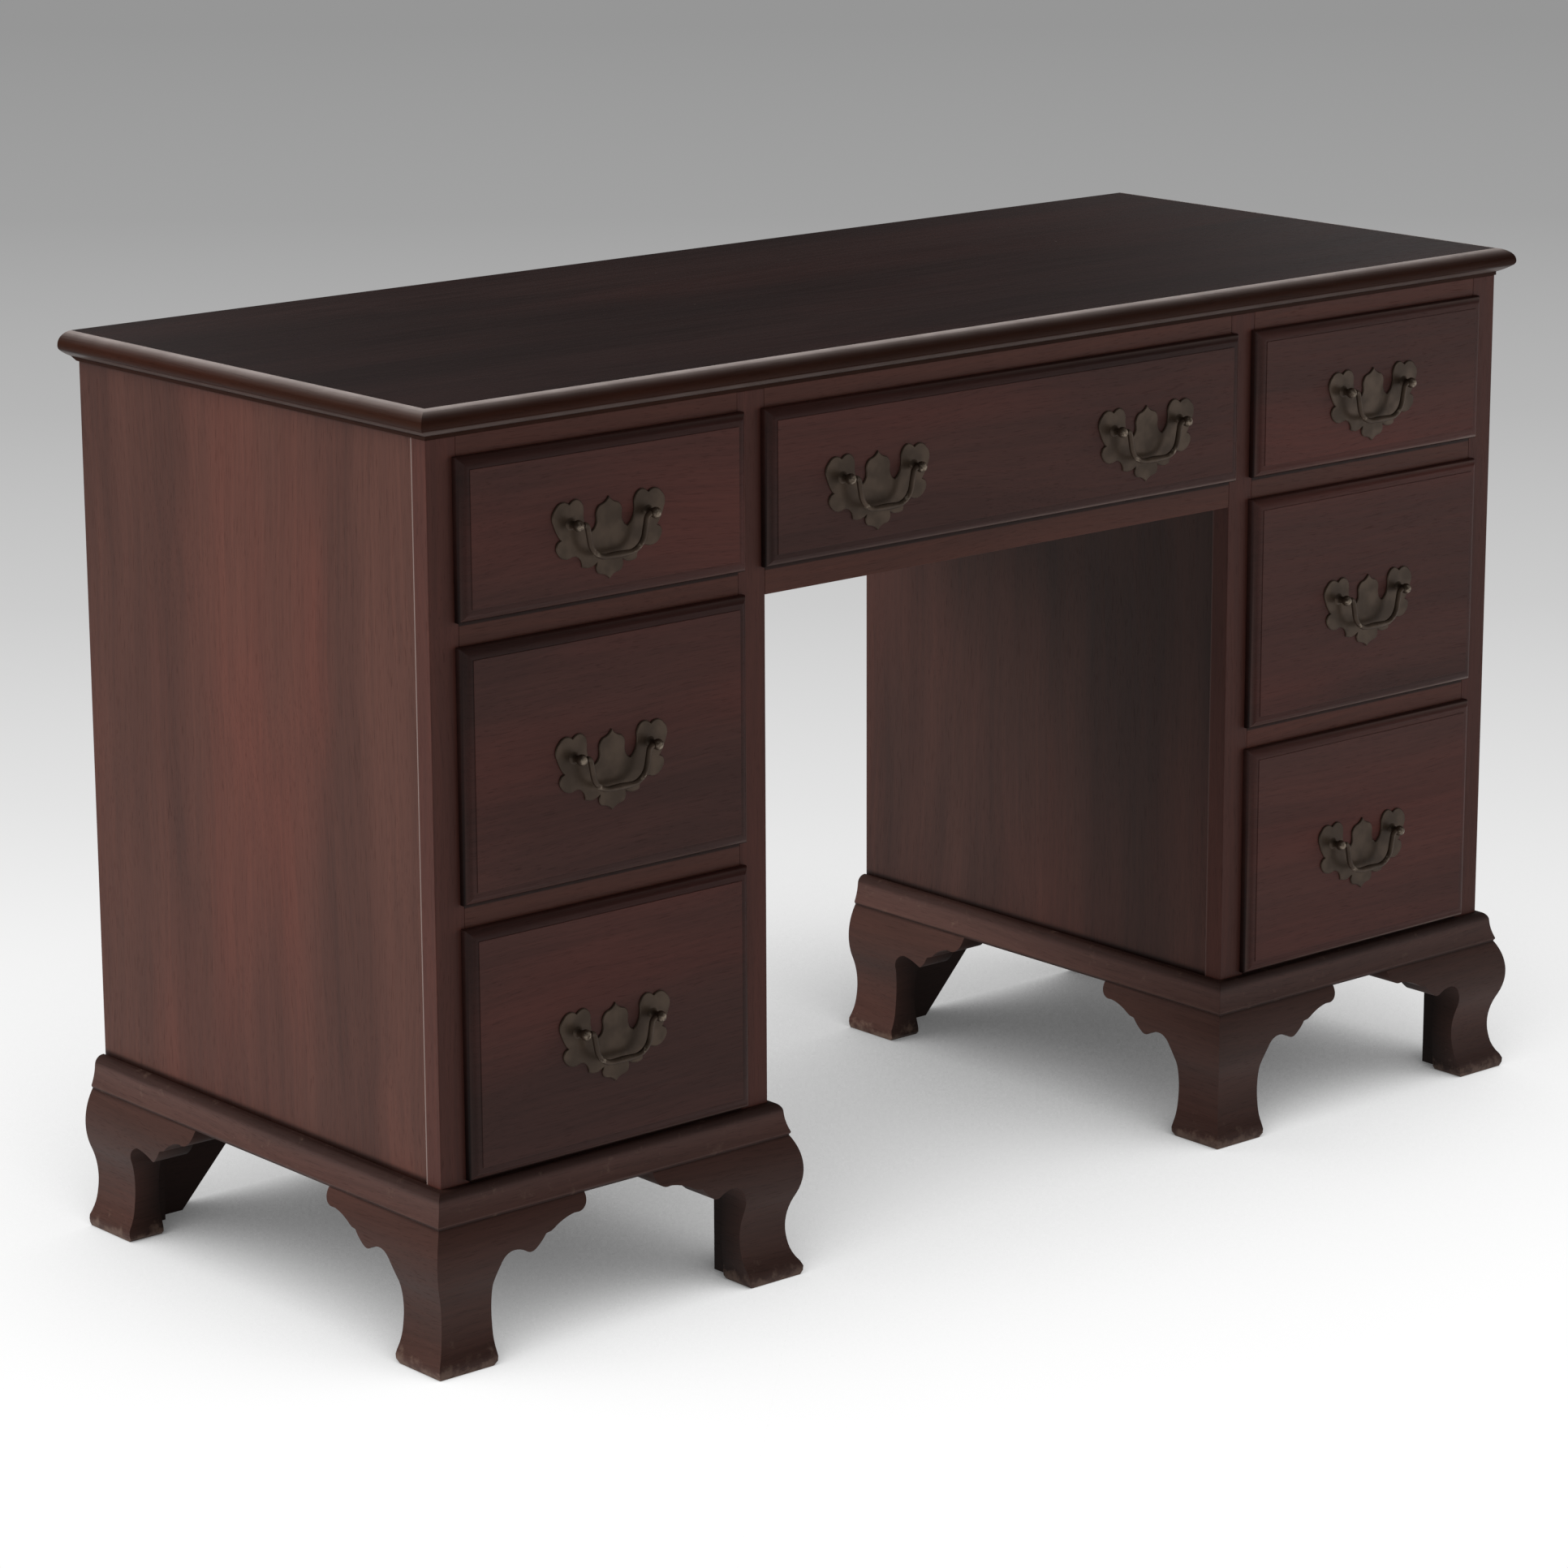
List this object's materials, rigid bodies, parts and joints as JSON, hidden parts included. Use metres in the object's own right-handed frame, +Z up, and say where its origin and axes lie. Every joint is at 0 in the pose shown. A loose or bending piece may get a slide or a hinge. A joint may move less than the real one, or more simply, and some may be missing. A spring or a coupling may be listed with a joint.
{
  "type": "kneehole desk",
  "caption": "Pedestal writing desk in dark mahogany with lipped drawers, brass bail pulls, a moulded top, base mouldings and ogee bracket feet round an open kneehole.",
  "frame": {"origin": "on the floor under the middle of the desk's box", "axes": "+X to the right of someone facing the drawers, -Y towards the sitter, +Z up"},
  "size_m": [1.2316, 0.5032, 0.762],
  "materials": {
    "mahogany_top": "dark satin lacquer",
    "mahogany_case": "satin lacquer",
    "mahogany_fronts": "satin lacquer",
    "drawer_wood": "bare",
    "antique_brass": "aged, dark"
  },
  "bodies": {
    "case": {"desk_top": "mahogany_top", "left_outer_side": "mahogany_case", "left_inner_side": "mahogany_case", "right_inner_side": "mahogany_case", "right_outer_side": "mahogany_case", "front_stiles": "mahogany_case", "top_rails": "mahogany_case", "kneehole_rail": "mahogany_case", "kneehole_back": "drawer_wood", "center_runners": "drawer_wood", "left_rails": "mahogany_case", "left_back": "drawer_wood", "left_floor": "drawer_wood", "left_runners": "drawer_wood", "left_base_moulding": "mahogany_case", "left_inner_front_foot": "mahogany_case", "left_outer_front_foot": "mahogany_case", "left_inner_rear_foot": "mahogany_case", "left_outer_rear_foot": "mahogany_case", "right_rails": "mahogany_case", "right_back": "drawer_wood", "right_floor": "drawer_wood", "right_runners": "drawer_wood", "right_base_moulding": "mahogany_case", "right_inner_front_foot": "mahogany_case", "right_outer_front_foot": "mahogany_case", "right_inner_rear_foot": "mahogany_case", "right_outer_rear_foot": "mahogany_case"},
    "center_drawer": {"center_drawer_front": "mahogany_fronts", "center_drawer_box": "drawer_wood", "center_left_pull_mount": "antique_brass", "center_right_pull_mount": "antique_brass"},
    "center_left_bail": {"center_left_bail": "antique_brass"},
    "center_right_bail": {"center_right_bail": "antique_brass"},
    "left_bottom_drawer": {"left_bottom_drawer_front": "mahogany_fronts", "left_bottom_drawer_box": "drawer_wood", "left_bottom_pull_mount": "antique_brass"},
    "left_bottom_bail": {"left_bottom_bail": "antique_brass"},
    "left_middle_drawer": {"left_middle_drawer_front": "mahogany_fronts", "left_middle_drawer_box": "drawer_wood", "left_middle_pull_mount": "antique_brass"},
    "left_middle_bail": {"left_middle_bail": "antique_brass"},
    "left_top_drawer": {"left_top_drawer_front": "mahogany_fronts", "left_top_drawer_box": "drawer_wood", "left_top_pull_mount": "antique_brass"},
    "left_top_bail": {"left_top_bail": "antique_brass"},
    "right_bottom_drawer": {"right_bottom_drawer_front": "mahogany_fronts", "right_bottom_drawer_box": "drawer_wood", "right_bottom_pull_mount": "antique_brass"},
    "right_bottom_bail": {"right_bottom_bail": "antique_brass"},
    "right_middle_drawer": {"right_middle_drawer_front": "mahogany_fronts", "right_middle_drawer_box": "drawer_wood", "right_middle_pull_mount": "antique_brass"},
    "right_middle_bail": {"right_middle_bail": "antique_brass"},
    "right_top_drawer": {"right_top_drawer_front": "mahogany_fronts", "right_top_drawer_box": "drawer_wood", "right_top_pull_mount": "antique_brass"},
    "right_top_bail": {"right_top_bail": "antique_brass"}
  },
  "joints": [
    {"name": "center_drawer_slide", "type": "slide", "parent": "case", "child": "center_drawer", "axis": [0, -1, 0], "range_m": [0, 0.34]},
    {"name": "center_left_bail_swing", "type": "hinge", "parent": "center_drawer", "child": "center_left_bail", "pos_m": [-0.15117, -0.24732, 0.6585], "axis": [-1, 0, 0], "range_deg": [-12, 190]},
    {"name": "center_right_bail_swing", "type": "hinge", "parent": "center_drawer", "child": "center_right_bail", "pos_m": [0.15117, -0.24732, 0.6585], "axis": [-1, 0, 0], "range_deg": [-12, 190]},
    {"name": "left_bottom_drawer_slide", "type": "slide", "parent": "case", "child": "left_bottom_drawer", "axis": [0, -1, 0], "range_m": [0, 0.34]},
    {"name": "left_bottom_bail_swing", "type": "hinge", "parent": "left_bottom_drawer", "child": "left_bottom_bail", "pos_m": [-0.4285, -0.24732, 0.252], "axis": [-1, 0, 0], "range_deg": [-12, 190]},
    {"name": "left_middle_drawer_slide", "type": "slide", "parent": "case", "child": "left_middle_drawer", "axis": [0, -1, 0], "range_m": [0, 0.34]},
    {"name": "left_middle_bail_swing", "type": "hinge", "parent": "left_middle_drawer", "child": "left_middle_bail", "pos_m": [-0.4285, -0.24732, 0.474], "axis": [-1, 0, 0], "range_deg": [-12, 190]},
    {"name": "left_top_drawer_slide", "type": "slide", "parent": "case", "child": "left_top_drawer", "axis": [0, -1, 0], "range_m": [0, 0.34]},
    {"name": "left_top_bail_swing", "type": "hinge", "parent": "left_top_drawer", "child": "left_top_bail", "pos_m": [-0.4285, -0.24732, 0.6585], "axis": [-1, 0, 0], "range_deg": [-12, 190]},
    {"name": "right_bottom_drawer_slide", "type": "slide", "parent": "case", "child": "right_bottom_drawer", "axis": [0, -1, 0], "range_m": [0, 0.34]},
    {"name": "right_bottom_bail_swing", "type": "hinge", "parent": "right_bottom_drawer", "child": "right_bottom_bail", "pos_m": [0.4285, -0.24732, 0.252], "axis": [-1, 0, 0], "range_deg": [-12, 190]},
    {"name": "right_middle_drawer_slide", "type": "slide", "parent": "case", "child": "right_middle_drawer", "axis": [0, -1, 0], "range_m": [0, 0.34]},
    {"name": "right_middle_bail_swing", "type": "hinge", "parent": "right_middle_drawer", "child": "right_middle_bail", "pos_m": [0.4285, -0.24732, 0.474], "axis": [-1, 0, 0], "range_deg": [-12, 190]},
    {"name": "right_top_drawer_slide", "type": "slide", "parent": "case", "child": "right_top_drawer", "axis": [0, -1, 0], "range_m": [0, 0.34]},
    {"name": "right_top_bail_swing", "type": "hinge", "parent": "right_top_drawer", "child": "right_top_bail", "pos_m": [0.4285, -0.24732, 0.6585], "axis": [-1, 0, 0], "range_deg": [-12, 190]}
  ]
}
